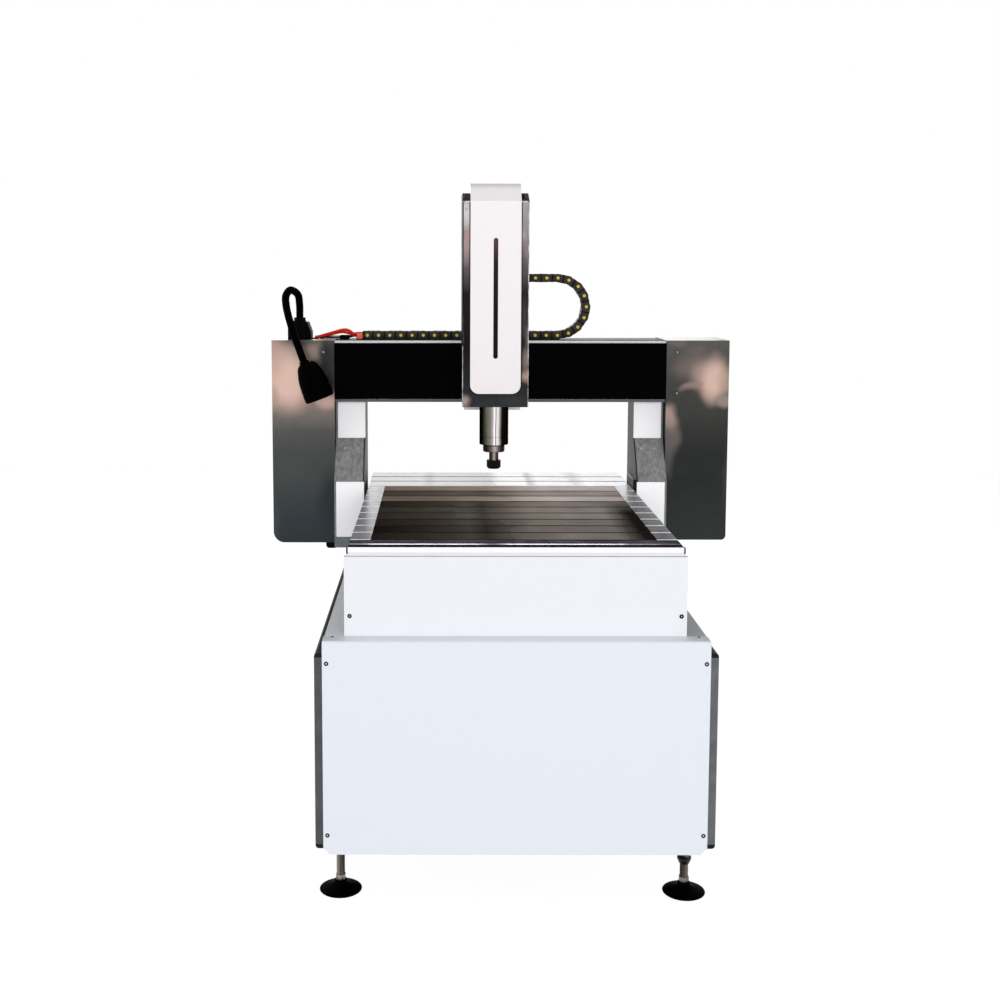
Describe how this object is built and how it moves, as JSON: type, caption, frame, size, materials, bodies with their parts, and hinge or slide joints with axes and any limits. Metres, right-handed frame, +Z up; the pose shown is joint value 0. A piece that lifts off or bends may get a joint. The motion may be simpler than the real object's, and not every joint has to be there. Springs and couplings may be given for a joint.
{
  "type": "gantry CNC milling machine",
  "caption": "Free-standing CNC milling machine: T-slot table on a closed base, travelling gantry, enclosed head on a cross carriage, spindle on a vertical slide.",
  "frame": {"origin": "on the floor under the centre of the machine's plan, between the four foot pads", "axes": "+X to the operator's right, +Y away from the operator, +Z up"},
  "size_m": [1.314, 1.2812, 1.694],
  "materials": {
    "frame_paint": "painted",
    "white_coat": "powder coat, satin",
    "grey_coat": "powder coat, satin",
    "dark_grey_coat": "powder coat, matt",
    "machined_steel": "machined",
    "aluminium": "milled",
    "ground_steel": "ground",
    "block_steel": "ground",
    "black_steel": "painted",
    "motor_black": "painted",
    "dark_screws": "zinc",
    "bright_screws": "zinc",
    "foot_black": "moulded",
    "housing_grey": "powder coat, satin",
    "black_gloss": "gloss paint",
    "chain_nylon": "moulded",
    "red_nylon": "moulded",
    "cable_red": "extruded",
    "gooseneck_black": "wound",
    "lamp_black": "painted",
    "dark_aluminium": "anodised",
    "dark_chrome": "polished",
    "head_white": "gloss paint",
    "spindle_steel": "turned",
    "black_oxide": "black oxide"
  },
  "bodies": {
    "base": {"base_frame": "frame_paint", "front_panel": "white_coat", "rear_panel": "white_coat", "deck_plate": "grey_coat", "side_covers": "dark_grey_coat", "upper_front_panel": "white_coat", "upper_rear_panel": "white_coat", "side_beams": "machined_steel", "bed_crossbars": "grey_coat", "bed_plate": "aluminium", "bed_table": "aluminium", "y_rails": "ground_steel", "y_screw_supports": "black_steel", "y_motors": "motor_black", "base_fasteners": "dark_screws"},
    "foot_fl": {"foot_front_left": "foot_black"},
    "foot_fr": {"foot_front_right": "foot_black"},
    "foot_rl": {"foot_rear_left": "foot_black"},
    "foot_rr": {"foot_rear_right": "foot_black"},
    "y_screw_l": {"y_screw_left": "ground_steel"},
    "y_screw_r": {"y_screw_right": "ground_steel"},
    "gantry": {"columns": "grey_coat", "column_covers": "white_coat", "column_feet": "grey_coat", "y_carriage_plates": "black_steel", "y_blocks": "block_steel", "end_plates": "black_steel", "housing_left": "housing_grey", "housing_right": "housing_grey", "gantry_beam": "machined_steel", "beam_cover": "black_gloss", "cover_trim": "grey_coat", "x_rails": "ground_steel", "x_screw_supports": "black_steel", "x_motor": "motor_black", "gantry_screws": "bright_screws", "chain_lower": "chain_nylon", "chain_loop": "chain_nylon", "chain_end": "red_nylon", "cables": "cable_red", "lamp_base": "black_steel", "lamp_neck": "gooseneck_black", "lamp_head": "lamp_black"},
    "x_screw_body": {"x_screw": "ground_steel"},
    "carriage": {"x_carriage": "dark_aluminium", "x_blocks": "block_steel", "z_back_plate": "aluminium", "z_rails": "ground_steel", "z_screw_supports": "black_steel", "z_motor": "motor_black", "head_frame": "dark_chrome", "head_cover": "head_white", "chain_upper": "chain_nylon"},
    "z_screw_body": {"z_screw": "ground_steel"},
    "z_slide": {"z_slide_plate": "dark_aluminium", "z_blocks": "block_steel", "spindle_clamp": "dark_aluminium", "spindle_body": "spindle_steel"},
    "rotor": {"spindle_shaft": "ground_steel", "collet_nut": "black_oxide"}
  },
  "joints": [
    {"name": "gantry_travel", "type": "slide", "parent": "base", "child": "gantry", "axis": [0, 1, 0], "range_m": [-0.66, 0.19]},
    {"name": "cross_travel", "type": "slide", "parent": "gantry", "child": "carriage", "axis": [1, 0, 0], "range_m": [-0.276, 0.324], "deforming": ["chain_lower", "chain_loop", "chain_upper"]},
    {"name": "spindle_travel", "type": "slide", "parent": "carriage", "child": "z_slide", "axis": [0, 0, 1], "range_m": [-0.075, 0.075]},
    {"name": "spindle_spin", "type": "hinge", "parent": "z_slide", "child": "rotor", "pos_m": [-0.024, 0.084, 0.95], "axis": [0, 0, 1], "continuous": true},
    {"name": "y_screw_left_spin", "type": "hinge", "parent": "base", "child": "y_screw_l", "pos_m": [-0.36, 0, 0.69], "axis": [0, 1, 0], "range_deg": [-6850, 23770]},
    {"name": "y_screw_right_spin", "type": "hinge", "parent": "base", "child": "y_screw_r", "pos_m": [0.36, 0, 0.69], "axis": [0, 1, 0], "range_deg": [-6850, 23770]},
    {"name": "x_screw_spin", "type": "hinge", "parent": "gantry", "child": "x_screw_body", "pos_m": [0, 0.289, 1.175], "axis": [1, 0, 0], "range_deg": [-11680, 9950]},
    {"name": "z_screw_spin", "type": "hinge", "parent": "carriage", "child": "z_screw_body", "pos_m": [-0.024, 0.171, 1.3], "axis": [0, 0, 1], "range_deg": [-2710, 2710]},
    {"name": "foot_front_left_turn", "type": "hinge", "parent": "base", "child": "foot_fl", "pos_m": [-0.406, -0.526, 0.1], "axis": [0, 0, 1], "continuous": true},
    {"name": "foot_front_right_turn", "type": "hinge", "parent": "base", "child": "foot_fr", "pos_m": [0.404, -0.537, 0.1], "axis": [0, 0, 1], "continuous": true},
    {"name": "foot_rear_left_turn", "type": "hinge", "parent": "base", "child": "foot_rl", "pos_m": [-0.406, 0.532, 0.1], "axis": [0, 0, 1], "continuous": true},
    {"name": "foot_rear_right_turn", "type": "hinge", "parent": "base", "child": "foot_rr", "pos_m": [0.406, 0.532, 0.1], "axis": [0, 0, 1], "continuous": true}
  ],
  "couplings": [
    {"joint": "y_screw_left_spin", "follows": "gantry_travel", "rad_per_m": -628.32},
    {"joint": "y_screw_right_spin", "follows": "gantry_travel", "rad_per_m": -628.32},
    {"joint": "x_screw_spin", "follows": "cross_travel", "rad_per_m": -628.32},
    {"joint": "z_screw_spin", "follows": "spindle_travel", "rad_per_m": -628.32}
  ]
}
